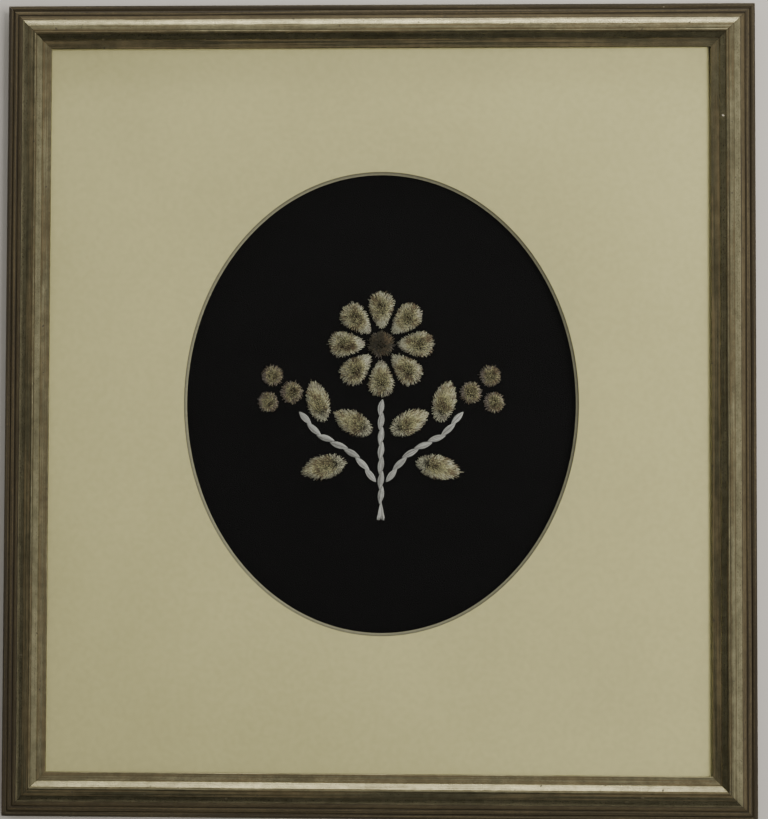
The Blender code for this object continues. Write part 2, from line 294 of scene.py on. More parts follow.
def plug(tree, socket, value):
    """Links VALUE to SOCKET, or sets it there if it is a plain one."""
    if isinstance(value, Field):
        value = value.socket
    if isinstance(value, bpy.types.NodeSocket):
        tree.links.new(value, socket)
    else:
        socket.default_value = value


def feed(tree, target, inputs):
    """Fills sockets of the node TARGET; INPUTS maps a socket's name or number to what goes in."""
    for key, value in dict(inputs).items():
        plug(tree, target.inputs[key], value)


def node(tree, kind, inputs=(), **options):
    """A new node with its OPTIONS set and INPUTS fed."""
    made = tree.nodes.new(kind)
    for key, value in options.items():
        setattr(made, key, value)
    feed(tree, made, inputs)
    return made


class Field:
    """A number that a node tree works out, used in sums like a plain one."""

    def __init__(self, tree, socket):
        self.tree = tree
        self.socket = socket

    def calc(self, operation, *others):
        made = node(self.tree, "ShaderNodeMath", dict(enumerate((self, *others))), operation=operation)
        return Field(self.tree, made.outputs[0])

    def __add__(self, other):
        return self.calc("ADD", other)

    def __sub__(self, other):
        return self.calc("SUBTRACT", other)

    def __mul__(self, other):
        return self.calc("MULTIPLY", other)

    def __truediv__(self, other):
        return self.calc("DIVIDE", other)

    def __pow__(self, other):
        return self.calc("POWER", other)

    def __neg__(self):
        return self.calc("MULTIPLY", -1.0)

    def __rsub__(self, other):
        return (-self).calc("ADD", other)

    __radd__ = __add__
    __rmul__ = __mul__

    def sin(self):
        return self.calc("SINE")

    def cos(self):
        return self.calc("COSINE")

    def over(self, limit):
        return self.calc("GREATER_THAN", limit)

    def ramp(self, start, end, low=0.0, high=1.0):
        """Eases from LOW to HIGH as the number goes from START to END."""
        inputs = {0: self, 1: start, 2: end, 3: low, 4: high}
        made = node(self.tree, "ShaderNodeMapRange", inputs, interpolation_type="SMOOTHSTEP")
        return Field(self.tree, made.outputs[0])


def vector(tree, x, y, z=0.0):
    return node(tree, "ShaderNodeCombineXYZ", {0: x, 1: y, 2: z}).outputs[0]


def split(tree, socket):
    made = node(tree, "ShaderNodeSeparateXYZ", {0: socket})
    return [Field(tree, output) for output in made.outputs]


def noise(tree, place, scale, detail=2.0, roughness=0.5):
    inputs = {"Vector": place, "Scale": scale, "Detail": detail, "Roughness": roughness}
    return Field(tree, node(tree, "ShaderNodeTexNoise", inputs).outputs[0])


def blend(tree, share, low, high):
    """A colour between LOW and HIGH, which are colours or sockets."""
    inputs = {0: share}
    for key, value in ((6, low), (7, high)):
        inputs[key] = value if isinstance(value, bpy.types.NodeSocket) else (*value, 1.0)
    return node(tree, "ShaderNodeMix", inputs, data_type="RGBA").outputs[2]


def shade(tree, tone, factor):
    """The colour TONE times the number FACTOR."""
    plain = not isinstance(tone, bpy.types.NodeSocket)
    inputs = {0: tuple(tone) if plain else tone, "Scale": factor}
    return node(tree, "ShaderNodeVectorMath", inputs, operation="SCALE").outputs[0]


def new_group(name, kind, inputs, outputs):
    """A node group with named INPUTS and OUTPUTS, a function that reads an input, and its end node."""
    tree = bpy.data.node_groups.new(name, kind)
    for label, (socket_type, default) in inputs.items():
        socket = tree.interface.new_socket(label, in_out="INPUT", socket_type=socket_type)
        if default is not None:
            socket.default_value = default
    for label, socket_type in outputs.items():
        tree.interface.new_socket(label, in_out="OUTPUT", socket_type=socket_type)
    entry = tree.nodes.new("NodeGroupInput")

    def given(label):
        return Field(tree, entry.outputs[label])

    return tree, given, tree.nodes.new("NodeGroupOutput")


FLOAT = "NodeSocketFloat"
WHOLE = "NodeSocketInt"
PLACE = "NodeSocketVector"
GEOMETRY = "NodeSocketGeometry"
MATERIAL = "NodeSocketMaterial"


def new_growth(name, inputs):
    """A Geometry Nodes tree that takes and gives a geometry, with named INPUTS."""
    inputs = {"Geometry": (GEOMETRY, None), **inputs}
    return new_group(name, "GeometryNodeTree", inputs, {"Geometry": GEOMETRY})


def chance(tree, low, high, seed):
    """A random number for each point, between LOW and HIGH."""
    made = node(tree, "FunctionNodeRandomValue", {2: low, 3: high, "Seed": seed}, data_type="FLOAT")
    return Field(tree, made.outputs[1])


def store(tree, geometry, name, value, data_type, domain):
    """GEOMETRY with VALUE kept on it under NAME."""
    inputs = {"Geometry": geometry, "Name": name, "Value": value}
    made = node(tree, "GeometryNodeStoreNamedAttribute", inputs, data_type=data_type, domain=domain)
    return made.outputs[0]


def keep(tree, geometry, values):
    """GEOMETRY with VALUES kept on its points by name: a Field as a number, a socket as a vector."""
    for name, value in values.items():
        data_type = "FLOAT" if isinstance(value, Field) else "FLOAT_VECTOR"
        geometry = store(tree, geometry, name, value, data_type, "POINT")
    return geometry


def recall(tree, name, data_type="FLOAT"):
    """What keep() left under NAME."""
    made = node(tree, "GeometryNodeInputNamedAttribute", {"Name": name}, data_type=data_type)
    if data_type == "FLOAT_VECTOR":
        return split(tree, made.outputs[0])
    return Field(tree, made.outputs[0])


def drop_scratch(tree, geometry):
    """GEOMETRY without the attributes that only its making needed."""
    inputs = {"Geometry": geometry, "Name": "build_*"}
    return node(tree, "GeometryNodeRemoveAttribute", inputs, pattern_mode="WILDCARD").outputs[0]


def move(tree, geometry, x, y, z):
    """GEOMETRY with its points set to X, Y and Z."""
    inputs = {"Geometry": geometry, "Position": vector(tree, x, y, z)}
    return node(tree, "GeometryNodeSetPosition", inputs).outputs[0]


def paint(tree, geometry, material, selection=True):
    inputs = {"Geometry": geometry, "Selection": selection, "Material": material}
    return node(tree, "GeometryNodeSetMaterial", inputs).outputs[0]


def strands(tree, points, sides, segments):
    """A unit hair at each of POINTS, made real, with its own places kept as build_ring."""
    inputs = {"Vertices": sides, "Side Segments": segments, "Radius": 1.0, "Depth": 1.0}
    hair = node(tree, "GeometryNodeMeshCylinder", inputs, fill_type="NGON")
    own_place = node(tree, "GeometryNodeInputPosition").outputs[0]
    marked = keep(tree, hair.outputs[0], {"build_ring": own_place})
    placed = node(tree, "GeometryNodeInstanceOnPoints", {"Points": points, "Instance": marked})
    return node(tree, "GeometryNodeRealizeInstances", {"Geometry": placed.outputs[0]}).outputs[0]


def grow(name, base, tree, values):
    """The piece NAME that TREE makes from the mesh BASE, as a plain mesh."""
    item = bpy.data.objects.new(name, base)
    bpy.context.scene.collection.objects.link(item)
    modifier = item.modifiers.new(name="Growth", type="NODES")
    modifier.node_group = tree
    for socket in tree.interface.items_tree:
        if socket.in_out == "INPUT" and socket.name in values:
            modifier[socket.identifier] = values[socket.name]
    graph = bpy.context.evaluated_depsgraph_get()
    result = bpy.data.meshes.new_from_object(item.evaluated_get(graph), depsgraph=graph)
    item.modifiers.remove(modifier)
    item.data = result
    result.name = name
    bpy.data.meshes.remove(base)
    return item


def piece_from(name, work, materials):
    """The bmesh WORK as a piece called NAME, its faces turned outwards."""
    bmesh.ops.recalc_face_normals(work, faces=work.faces)
    mesh = bpy.data.meshes.new(name)
    work.to_mesh(mesh)
    work.free()
    for material in materials:
        mesh.materials.append(material)
    item = bpy.data.objects.new(name, mesh)
    bpy.context.scene.collection.objects.link(item)
    return item


def smooth(item, degrees):
    item.data.shade_smooth()
    item.data.set_sharp_from_angle(angle=math.radians(degrees))


def dress(item, node_name):
    """ITEM rides with the picture and stands for the plain solid NODE_NAME."""
    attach(item, "root")
    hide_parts(node_name)


def new_material(name):
    material = bpy.data.materials.new(name)
    material.use_nodes = True
    tree = material.node_tree
    return material, tree, tree.nodes["Principled BSDF"]


def own_coordinates(tree, output="Object"):
    return node(tree, "ShaderNodeTexCoord").outputs[output]


def stretched(tree, place, x, y, z=1.0):
    """PLACE with its axes scaled, so that a pattern runs out along the least of them."""
    inputs = {0: place, 1: (x, y, z)}
    return node(tree, "ShaderNodeVectorMath", inputs, operation="MULTIPLY").outputs[0]


def bump(tree, height, depth):
    """A normal for relief of HEIGHT, DEPTH metres deep."""
    inputs = {"Height": height, "Distance": depth, "Strength": 1.0}
    return node(tree, "ShaderNodeBump", inputs).outputs[0]


def kept(tree, name):
    """What a piece's making left on it under NAME, read in a material."""
    return Field(tree, node(tree, "ShaderNodeAttribute", attribute_name=name).outputs["Fac"])


def mottling_group():
    """Uneven tone, as of paper, board or an aged finish."""
    inputs = {
        "Place": (PLACE, None),
        "Scale": (FLOAT, 100.0),
        "Detail": (FLOAT, 3.0),
        "Low": (FLOAT, 0.9),
        "High": (FLOAT, 1.1),
    }
    tree, given, leave = new_group("Mottling", "ShaderNodeTree", inputs, {"Tone": FLOAT})
    cloud = noise(tree, given("Place"), given("Scale"), given("Detail"))
    feed(tree, leave, {"Tone": cloud.ramp(0.30, 0.70, given("Low"), given("High"))})
    return tree


def specks_group():
    """Small scattered flecks: a mask that is 1 on a fleck."""
    inputs = {
        "Place": (PLACE, None),
        "Scale": (FLOAT, 500.0),
        "Share": (FLOAT, 0.7),
    }
    tree, given, leave = new_group("Specks", "ShaderNodeTree", inputs, {"Mask": FLOAT})
    cloud = noise(tree, given("Place"), given("Scale"), 1.0)
    feed(tree, leave, {"Mask": cloud.ramp(given("Share"), given("Share") + 0.03)})
    return tree


def hair_tone_group():
    """Tone of each hair, and masks for its patches, from what its making kept on it; its lightness carries
    painted shade that darkens each hair towards its root.
    """
    outputs = {"Rim": FLOAT, "Brown": FLOAT, "Mauve": FLOAT, "Shade": FLOAT}
    tree, _, leave = new_group("Hair tone", "ShaderNodeTree", {}, outputs)
    names = ("tone", "reach", "patch", "inner", "along")
    tone, reach, patch, inner, along = (kept(tree, name) for name in names)
    rim = (reach + inner * 0.8 + (tone - 0.5) * 0.70).ramp(0.40, 1.00)
    brown = (patch + (tone - 0.5) * 0.30).ramp(0.54, 0.68) * (1 - inner)
    lone = (tone * 7.31).calc("FRACT").over(0.86) * 0.80
    mauve = (1 - patch + (reach - 0.9) * 0.4).ramp(0.52, 0.66) * reach
    lightness = (tone * 13.7).calc("FRACT") * 0.80 + 0.48
    results = {
        "Rim": rim,
        "Brown": brown.calc("MAXIMUM", lone * (1 - inner * 0.7)),
        "Mauve": mauve * 0.7,
        # Painted shade: each hair is darkened towards its root, to 0.04 of its lightness at a tuft's rim
        # and 0.44 in its middle.
        "Shade": lightness * along.ramp(0.35, 0.95, (1 - reach) * 0.40 + 0.04, 1.0),
    }
    feed(tree, leave, results)
    return tree


def shared_group(make):
    """The node group that MAKE builds, built on its first use."""
    if make not in shared_group.made:
        shared_group.made[make] = make()
    return shared_group.made[make]


shared_group.made = {}


def use_group(tree, make, inputs=()):
    made = tree.nodes.new("ShaderNodeGroup")
    made.node_tree = shared_group(make)
    feed(tree, made, inputs)
    return [Field(tree, output) for output in made.outputs]


def mottled(tree, place, scale, low, high, detail=3.0):
    inputs = {"Place": place, "Scale": scale, "Low": low, "High": high, "Detail": detail}
    return use_group(tree, mottling_group, inputs)[0]


def specks(tree, place, scale, share):
    return use_group(tree, specks_group, {"Place": place, "Scale": scale, "Share": share})[0]


def silver_material():
    """Silver leaf under a brown glaze, rubbed through along the reeds."""
    look = settings().rails
    material, tree, shader = new_material("antique silver leaf")
    place = own_coordinates(tree, "UV")
    lengthwise = stretched(tree, place, 9.0, 2000.0)
    streak = noise(tree, lengthwise, 1.0, 4.0, 0.6).ramp(0.30, 0.70)
    broad = noise(tree, stretched(tree, place, 30.0, 160.0), 1.0, 3.0)
    fine = noise(tree, stretched(tree, place, 900.0, 2600.0), 1.0, 2.0)
    grime = kept(tree, "grime")
    aged = grime + (streak - 0.5) * 0.45 + (broad - 0.5) * 0.7 + (fine - 0.5) * 0.35
    glaze = aged.ramp(0.05, 0.62)
    dark = (grime + (streak - 0.5) * 0.28 + (fine - 0.5) * 0.3).ramp(0.62, 1.0)
    long_cloud = mottled(tree, stretched(tree, place, 40.0, 130.0), 1.0, 0.86, 1.12)
    cloudy = mottled(tree, place, 260.0, 0.84, 1.12) * long_cloud
    leaf = shade(tree, look.leaf, cloudy * (0.60 + streak * 0.54 + fine * 0.26))
    leaf = shade(tree, leaf, 1 - glaze * 0.62)
    base = blend(tree, glaze.ramp(0.55, 1.0), leaf, shade(tree, look.glaze, cloudy))
    base = blend(tree, dark, base, look.grime)
    spots = specks(tree, place, 420.0, 0.735)
    base = blend(tree, spots * 0.85, base, look.grime)
    chips = specks(tree, place, 260.0, 0.81)
    base = blend(tree, chips, base, look.chip)
    whole = 1 - chips.calc("MAXIMUM", spots * 0.8)
    finish = {
        "Base Color": base,
        "Metallic": (0.97 - glaze.ramp(0.60, 1.0) * 0.40) * (1 - dark) * whole,
        "Roughness": 0.29 + glaze * 0.24 + (fine - 0.5) * 0.16,
        "Specular IOR Level": 0.45 - dark * 0.20,
        "Normal": bump(tree, streak * 0.3 + fine * 0.5 - chips, 0.00006),
    }
    feed(tree, shader, finish)
    return material


def wood_material(name, tone, lengthwise, across):
    """Plain sawn wood or pressed board, with its fibres along the object's own axes."""
    material, tree, shader = new_material(name)
    place = own_coordinates(tree)
    fibre = noise(tree, stretched(tree, place, *lengthwise), 1.0, 4.0, 0.6)
    pore = noise(tree, stretched(tree, place, *across), 1.0, 2.0)
    tint = mottled(tree, place, 45.0, 0.85, 1.12)
    finish = {
        "Base Color": shade(tree, tone, tint * (0.62 + fibre * 0.5 + pore * 0.26)),
        "Roughness": 0.72 + fibre * 0.18,
        "Normal": bump(tree, fibre + pore, 0.00010),
    }
    feed(tree, shader, finish)
    return material


def paper_material():
    """Face paper of the mat board: matt, faintly mottled and fibrous."""
    look = settings().mat
    material, tree, shader = new_material("cream mat paper")
    place = own_coordinates(tree)
    broad = mottled(tree, place, 16.0, 0.975, 1.02, 2.0)
    small = mottled(tree, place, 420.0, 0.965, 1.03, 3.0)
    fibre = noise(tree, stretched(tree, place, 700.0, 1500.0), 1.0, 3.0, 0.7)
    finish = {
        "Base Color": shade(tree, look.paper, broad * small),
        "Roughness": 0.80 + fibre * 0.15,
        "Normal": bump(tree, fibre, 0.00004),
        "Specular IOR Level": 0.25,
    }
    feed(tree, shader, finish)
    return material


def core_material():
    """Cut core of the mat board, bared by the bevel: darker just under the face paper."""
    look = settings().mat
    material, tree, shader = new_material("mat board core")
    place = own_coordinates(tree)
    grain = mottled(tree, place, 900.0, 0.88, 1.06)
    layers = noise(tree, stretched(tree, place, 60.0, 60.0, 9000.0), 1.0, 2.0)
    depth = split(tree, place)[2].ramp(MAT_LOW.z, MAT_HIGH.z, 1.35, 0.60)
    finish = {
        "Base Color": shade(tree, look.core, grain * depth * (0.90 + layers * 0.2)),
        "Roughness": 0.85 + layers * 0.1,
        "Normal": bump(tree, layers, 0.00003),
    }
    feed(tree, shader, finish)
    return material


def glass_material():
    """Clear drawn glass, faintly wavy, that lets the lamps through."""
    look = settings().glass
    material, tree, shader = new_material("clear picture glass")
    place = own_coordinates(tree)
    wave = noise(tree, stretched(tree, place, 9.0, 34.0), 1.0, 2.0)
    finish = {
        "Base Color": (*look.tint, 1.0),
        "Roughness": 0.0,
        "IOR": 1.5,
        "Transmission Weight": 1.0,
        "Normal": bump(tree, wave * look.waviness, 0.01),
    }
    feed(tree, shader, finish)
    clear = node(tree, "ShaderNodeBsdfTransparent", {"Color": (*look.tint, 1.0)})
    ray = node(tree, "ShaderNodeLightPath")
    inputs = {0: ray.outputs["Is Shadow Ray"], 1: shader.outputs[0], 2: clear.outputs[0]}
    mix = node(tree, "ShaderNodeMixShader", inputs)
    feed(tree, tree.nodes["Material Output"], {"Surface": mix.outputs[0]})
    return material


def velvet_material():
    """Short black pile that catches a little light, with painted sheen lightening its colour where it is
    brushed up.
    """
    look = settings().velvet
    material, tree, shader = new_material("black velvet")
    place = own_coordinates(tree)
    pile = noise(tree, stretched(tree, place, 2600.0, 2600.0, 400.0), 1.0, 3.0, 0.6)
    nap = noise(tree, stretched(tree, place, 18.0, 55.0), 1.0, 3.0)
    # Painted sheen: patches of brushed-up pile get the lighter colour.
    brushed_sheen_mask = pile.ramp(0.50, 0.80) * nap.ramp(0.30, 0.75)
    finish = {
        "Base Color": blend(tree, brushed_sheen_mask, look.pile, look.painted_sheen_tone),
        "Roughness": 0.9 + pile * 0.1,
        "Normal": bump(tree, pile, 0.00025),
        "Specular IOR Level": 0.08,
        "Sheen Weight": 0.03,
        "Sheen Roughness": 0.35,
        "Sheen Tint": (0.70, 0.68, 0.75, 1.0),
    }
    feed(tree, shader, finish)
    return material


def hair_material(name, rim, middle, patch, edge, strength=1.0):
    """Cut hair: RIM and MIDDLE tones, with PATCH and EDGE tones in some places, and painted shade darkening
    each hair towards its root.
    """
    material, tree, shader = new_material(name)
    on_rim, brown, mauve, lightness = use_group(tree, hair_tone_group)
    tone = blend(tree, on_rim, middle, rim)
    tone = blend(tree, mauve * strength, tone, edge)
    tone = blend(tree, brown * strength, tone, patch)
    # LIGHTNESS holds each hair's own lightness together with the painted shade towards its root.
    tone = shade(tree, tone, lightness)
    feed(tree, shader, {"Base Color": tone, "Roughness": 0.55, "Specular IOR Level": 0.30})
    return material


def stem_material():
    """Pale bundled hair, each strand a little lighter or darker."""
    look = settings().stems
    material, tree, shader = new_material("white moose hair")
    uneven = mottled(tree, own_coordinates(tree), 700.0, 0.88, 1.10)
    tone = shade(tree, look.hair, (0.44 + kept(tree, "tone") * 0.64) * uneven)
    feed(tree, shader, {"Base Color": tone, "Roughness": 0.60, "Specular IOR Level": 0.30})
    return material


SectionPoint = namedtuple("SectionPoint", "depth height grime bare")


def arc(middle, radii, sweep, steps, grime):
    """Points of an ellipse's arc over the degrees in SWEEP, with GRIME from its first to last value."""
    points = []
    for i in range(steps + 1):
        share = i / steps
        angle = math.radians(sweep[0] + (sweep[1] - sweep[0]) * share)
        depth = middle[0] + radii[0] * math.cos(angle)
        height = middle[1] + radii[1] * math.sin(angle)
        points.append(SectionPoint(depth, height, grime[0] + (grime[1] - grime[0]) * share, 0.0))
    return points


def face_points(face, steps=8):
    """Section of one face, after the narrow grimy groove on its outer side."""
    points = [SectionPoint(face.start, face.start_height - face.groove, 1.0, 0.0)]
    for i in range(steps + 1):
        share = i / steps
        swell = math.sin(math.pi * share)
        depth = face.start + (face.end - face.start) * share
        level = face.start_height + (face.end_height - face.start_height) * share
        grime = face.grime + 0.15 * (1 - swell) ** 2
        points.append(SectionPoint(depth, level + face.swell * swell, grime, 0.0))
    return points


def rail_section():
    """Section of a rail, from the foot of its outer side, over its face and round its back."""
    lip_corner = (RAIL_WIDTH - LIP_ROUND, LIP_HEIGHT - LIP_ROUND)
    points = [SectionPoint(0.0, 0.0, 1.0, 1.0)]
    points += arc((BEAD_RADIUS, BEAD_HEIGHT), (BEAD_RADIUS, BEAD_RADIUS), (180, 15), 12, (1.00, 0.90))
    for face in FACES:
        points += face_points(face)
    points += arc(lip_corner, (LIP_ROUND, LIP_ROUND), (90, 0), 5, (0.30, 0.40))[1:]
    for depth, height in (
        (RAIL_WIDTH, GROOVE_ROOF),
        (GROOVE_WALL, GROOVE_ROOF),
        (GROOVE_WALL, GROOVE_FLOOR),
        (LEDGE_EDGE, GROOVE_FLOOR),
        (LEDGE_EDGE, REBATE_ROOF),
        (REBATE_WALL, REBATE_ROOF),
        (REBATE_WALL, 0.0),
    ):
        points.append(SectionPoint(depth, height, 1.0, 1.0))
    return points


def section_mesh():
    """The rail's section as a closed line, with its grime, bareness and running length."""
    points = rail_section()
    count = len(points)
    mesh = bpy.data.meshes.new("rail_section")
    edges = [(i, (i + 1) % count) for i in range(count)]
    mesh.from_pydata([(0.0, p.depth, p.height) for p in points], edges, [])
    girth = [0.0]
    for a, b in zip(points, points[1:]):
        girth.append(girth[-1] + math.hypot(b.depth - a.depth, b.height - a.height))
    columns = {
        "grime": [p.grime for p in points],
        "build_bare": [p.bare for p in points],
        "build_girth": girth,
    }
    for name, values in columns.items():
        attribute = mesh.attributes.new(name, "FLOAT", "POINT")
        attribute.data.foreach_set("value", values)
    return mesh


def moulding_tree():
    """A section swept along a rail's length between two mitres, its face a little worn."""
    inputs = {
        "Length": (FLOAT, 0.3),
        "Set back": (FLOAT, MITRE_SETBACK),
        "Steps": (WHOLE, 100),
        "Wear": (FLOAT, 0.00005),
        "Start": (FLOAT, 0.0),
        "Finish": (MATERIAL, None),
        "Bare wood": (MATERIAL, None),
    }
    tree, given, leave = new_growth("Mitred moulding", inputs)
    own_place = node(tree, "GeometryNodeInputPosition").outputs[0]
    section = node(tree, "GeometryNodeMeshToCurve", {"Mesh": given("Geometry")}).outputs[0]
    section = keep(tree, section, {"build_section": own_place})
    line = node(tree, "GeometryNodeCurvePrimitiveLine", {"Start": (-1, 0, 0), "End": (1, 0, 0)}).outputs[0]
    line = node(tree, "GeometryNodeResampleCurve", {"Curve": line, "Count": given("Steps")}).outputs[0]
    line = keep(tree, line, {"build_along": split(tree, own_place)[0]})
    sweep = {"Curve": line, "Profile Curve": section, "Fill Caps": True}
    swept = node(tree, "GeometryNodeCurveToMesh", sweep).outputs[0]
    _, depth, height = recall(tree, "build_section", "FLOAT_VECTOR")
    along = recall(tree, "build_along")
    girth = recall(tree, "build_girth")
    bare = recall(tree, "build_bare")
    x = along * (given("Length") / 2 - depth - given("Set back"))
    run = x + given("Start")
    worn_place = vector(tree, run * 260.0, girth * 900.0)
    sunk = noise(tree, worn_place, 1.0, 2.0).ramp(0.35, 0.75) * given("Wear") * (1 - bare)
    shaped = move(tree, swept, x, depth + sunk * 0.3, height - sunk)
    mapped = store(tree, shaped, "UVMap", vector(tree, run, girth), "FLOAT2", "CORNER")
    finished = paint(tree, mapped, given("Finish"))
    finished = paint(tree, finished, given("Bare wood"), bare.over(0.75))
    feed(tree, leave, {"Geometry": drop_scratch(tree, finished)})
    return tree


def tuft_tree():
    """A tuft: hairs that rise from a narrow foot and spread to a trimmed dome."""
    inputs = {
        "Hairs": (WHOLE, 1000),
        "Length": (FLOAT, 0.0175),
        "Width": (FLOAT, 0.0117),
        "Rise": (FLOAT, 0.0050),
        "Fullness": (FLOAT, 0.0),
        "Point": (FLOAT, 0.0),
        "Gather": (FLOAT, 0.42),
        "Lean": (FLOAT, 0.0),
        "Thickness": (FLOAT, 0.00036),
        "Raggedness": (FLOAT, 0.07),
        "Seed": (WHOLE, 1),
        "Material": (MATERIAL, None),
    }
    tree, given, leave = new_growth("Trimmed tuft", inputs)

    def luck(low, high, step):
        return chance(tree, low, high, given("Seed") + step)

    points = node(tree, "GeometryNodePoints", {"Count": given("Hairs")}).outputs[0]
    index = Field(tree, node(tree, "GeometryNodeInputIndex").outputs[0])
    share = (((index + 0.5) / given("Hairs")) ** 0.58 + luck(-0.012, 0.012, 1)).calc("MINIMUM", 1.0)
    angle = index * GOLDEN_ANGLE + luck(-0.05, 0.05, 2)
    forward = angle.cos()
    sideways = angle.sin()
    narrowing = sideways.calc("ABSOLUTE") ** (given("Point") * forward.over(0.0))
    outline_x = given("Length") / 2 * forward
    outline_y = given("Width") / 2 * sideways * (1 + given("Fullness") * forward) * narrowing
    stray = luck(0.0, 1.0, 3).over(0.97) * luck(0.0, 0.11, 4)
    trim = 1 + luck(-1.0, 0.55, 5) * given("Raggedness") * share + stray
    tip_x = outline_x * share * trim + luck(-0.00024, 0.00024, 10)
    tip_y = outline_y * share * trim + luck(-0.00024, 0.00024, 11)
    tip_z = given("Rise") * (1 - share**3.4 * 0.68) * (1 + luck(-0.10, 0.03, 6))
    foot = share * (1 - (1 - given("Gather")) * share**1.4)
    root_x = outline_x * foot - given("Lean") * given("Length") * share + luck(-0.0002, 0.0002, 7)
    root_y = outline_y * foot + luck(-0.0002, 0.0002, 8)
    patch_place = vector(tree, tip_x, tip_y, given("Seed") * 0.37)
    values = {
        "build_root": vector(tree, root_x, root_y),
        "build_tip": vector(tree, tip_x, tip_y, tip_z),
        "tone": luck(0.0, 1.0, 9),
        "reach": share,
        "patch": noise(tree, patch_place, 210.0, 1.0),
        "inner": (-tip_x / given("Length")).ramp(0.18, 0.46),
    }
    hairs = strands(tree, keep(tree, points, values), 3, 2)

    ring_x, ring_y, ring_z = recall(tree, "build_ring", "FLOAT_VECTOR")
    from_x, from_y, from_z = recall(tree, "build_root", "FLOAT_VECTOR")
    to_x, to_y, to_z = recall(tree, "build_tip", "FLOAT_VECTOR")
    reach = recall(tree, "reach")
    along = ring_z + 0.5
    lift = along * (1 - along) * reach * given("Rise") * 1.1
    taper = given("Thickness") / 2 * (1 + along * (0.55 - reach * 0.75))
    run_x = to_x - from_x
    run_y = to_y - from_y
    run = (run_x * run_x + run_y * run_y).calc("SQRT") + 0.0002
    slope = to_z / (to_z * to_z + run * run).calc("SQRT")
    level = run / (to_z * to_z + run * run).calc("SQRT")
    out_x = run_x / run
    out_y = run_y / run
    side = ring_x * taper
    over = ring_y * taper
    x = from_x + run_x * along - out_y * side + out_x * slope * over
    y = from_y + run_y * along + out_x * side + out_y * slope * over
    z = to_z * along + lift - level * over
    shaped = keep(tree, move(tree, hairs, x, y, z), {"along": along})
    shaped = paint(tree, shaped, given("Material"))
    feed(tree, leave, {"Geometry": drop_scratch(tree, shaped)})
    return tree


def stem_tree():
    """Bundled hair along a line, couched into slanting spindles, the first one cut open or not."""
    inputs = {
        "Stitches": (WHOLE, 8),
        "Strands": (WHOLE, 24),
        "Width": (FLOAT, 0.0031),
        "Height": (FLOAT, 0.0020),
        "Overlap": (FLOAT, 0.16),
        "Slant": (FLOAT, 0.0005),
        "Cut foot": (FLOAT, 0.0),
        "Seed": (WHOLE, 1),
        "Material": (MATERIAL, None),
    }
    tree, given, leave = new_growth("Couched stem", inputs)

    def luck(low, high, step):
        return chance(tree, low, high, given("Seed") + step)

    def on_line(share):
        inputs = {"Curves": line, "Factor": share}
        return split(tree, node(tree, "GeometryNodeSampleCurve", inputs).outputs["Position"])

    line = node(tree, "GeometryNodeMeshToCurve", {"Mesh": given("Geometry")}).outputs[0]
    stitches = given("Stitches")
    per_stitch = given("Strands")
    points = node(tree, "GeometryNodePoints", {"Count": stitches * per_stitch}).outputs[0]
    index = Field(tree, node(tree, "GeometryNodeInputIndex").outputs[0])
    stitch = (index / per_stitch + 0.0001).calc("FLOOR")
    strand = index - stitch * per_stitch
    head_x, head_y, _ = on_line((stitch - given("Overlap")) / stitches)
    tail_x, tail_y, _ = on_line((stitch + 1 + given("Overlap")) / stitches)
    open_end = (1 - stitch.over(0.5)) * given("Cut foot")
    run_x = tail_x - head_x
    run_y = tail_y - head_y
    run = (run_x * run_x + run_y * run_y).calc("SQRT")
    side_x = -run_y / run
    side_y = run_x / run
    slant = given("Slant") * (1 - open_end)
    early = luck(0.0, 0.0016, 1) * open_end
    start_x = head_x + side_x * slant - run_x / run * early
    start_y = head_y + side_y * slant - run_y / run * early
    end_x = tail_x - side_x * slant
    end_y = tail_y - side_y * slant
    seat = ((strand + 0.5) / per_stitch).calc("SQRT")
    turn = strand * GOLDEN_ANGLE
    values = {
        "build_start": vector(tree, start_x, start_y, open_end),
        "build_end": vector(tree, end_x, end_y),
        "build_seat": vector(tree, seat * turn.cos(), seat * turn.sin()),
        "tone": luck(0.0, 1.0, 2),
    }
    hairs = strands(tree, keep(tree, points, values), 5, 10)

    ring_x, ring_y, ring_z = recall(tree, "build_ring", "FLOAT_VECTOR")
    from_x, from_y, opened = recall(tree, "build_start", "FLOAT_VECTOR")
    to_x, to_y, _ = recall(tree, "build_end", "FLOAT_VECTOR")
    seat_x, seat_y, _ = recall(tree, "build_seat", "FLOAT_VECTOR")
    along = ring_z + 0.5
    closed_shape = (along * math.pi).sin().calc("MAXIMUM", 0.0) ** 0.90 * 0.95 + 0.05
    open_shape = (1 - along).ramp(0.0, 0.7, 0.12, 0.85) + (1 - along).ramp(0.6, 1.0, 0.0, 0.45)
    fullness = closed_shape * (1 - opened) + open_shape * opened
    thick = given("Width") * 0.070 * (fullness * 0.40 + 0.60)
    run_x = to_x - from_x
    run_y = to_y - from_y
    run = (run_x * run_x + run_y * run_y).calc("SQRT")
    side_x = -run_y / run
    side_y = run_x / run
    across = seat_x * fullness * given("Width") / 2 + ring_x * thick
    lift = given("Height") / 2 * (1 + seat_y * 0.95) * (fullness * 0.72 + 0.28) + (1 - along) * 0.00035
    x = from_x + run_x * along + side_x * across
    y = from_y + run_y * along + side_y * across
    z = lift + ring_y * thick
    shaped = paint(tree, move(tree, hairs, x, y, z), given("Material"))
    feed(tree, leave, {"Geometry": drop_scratch(tree, shaped)})
    return tree


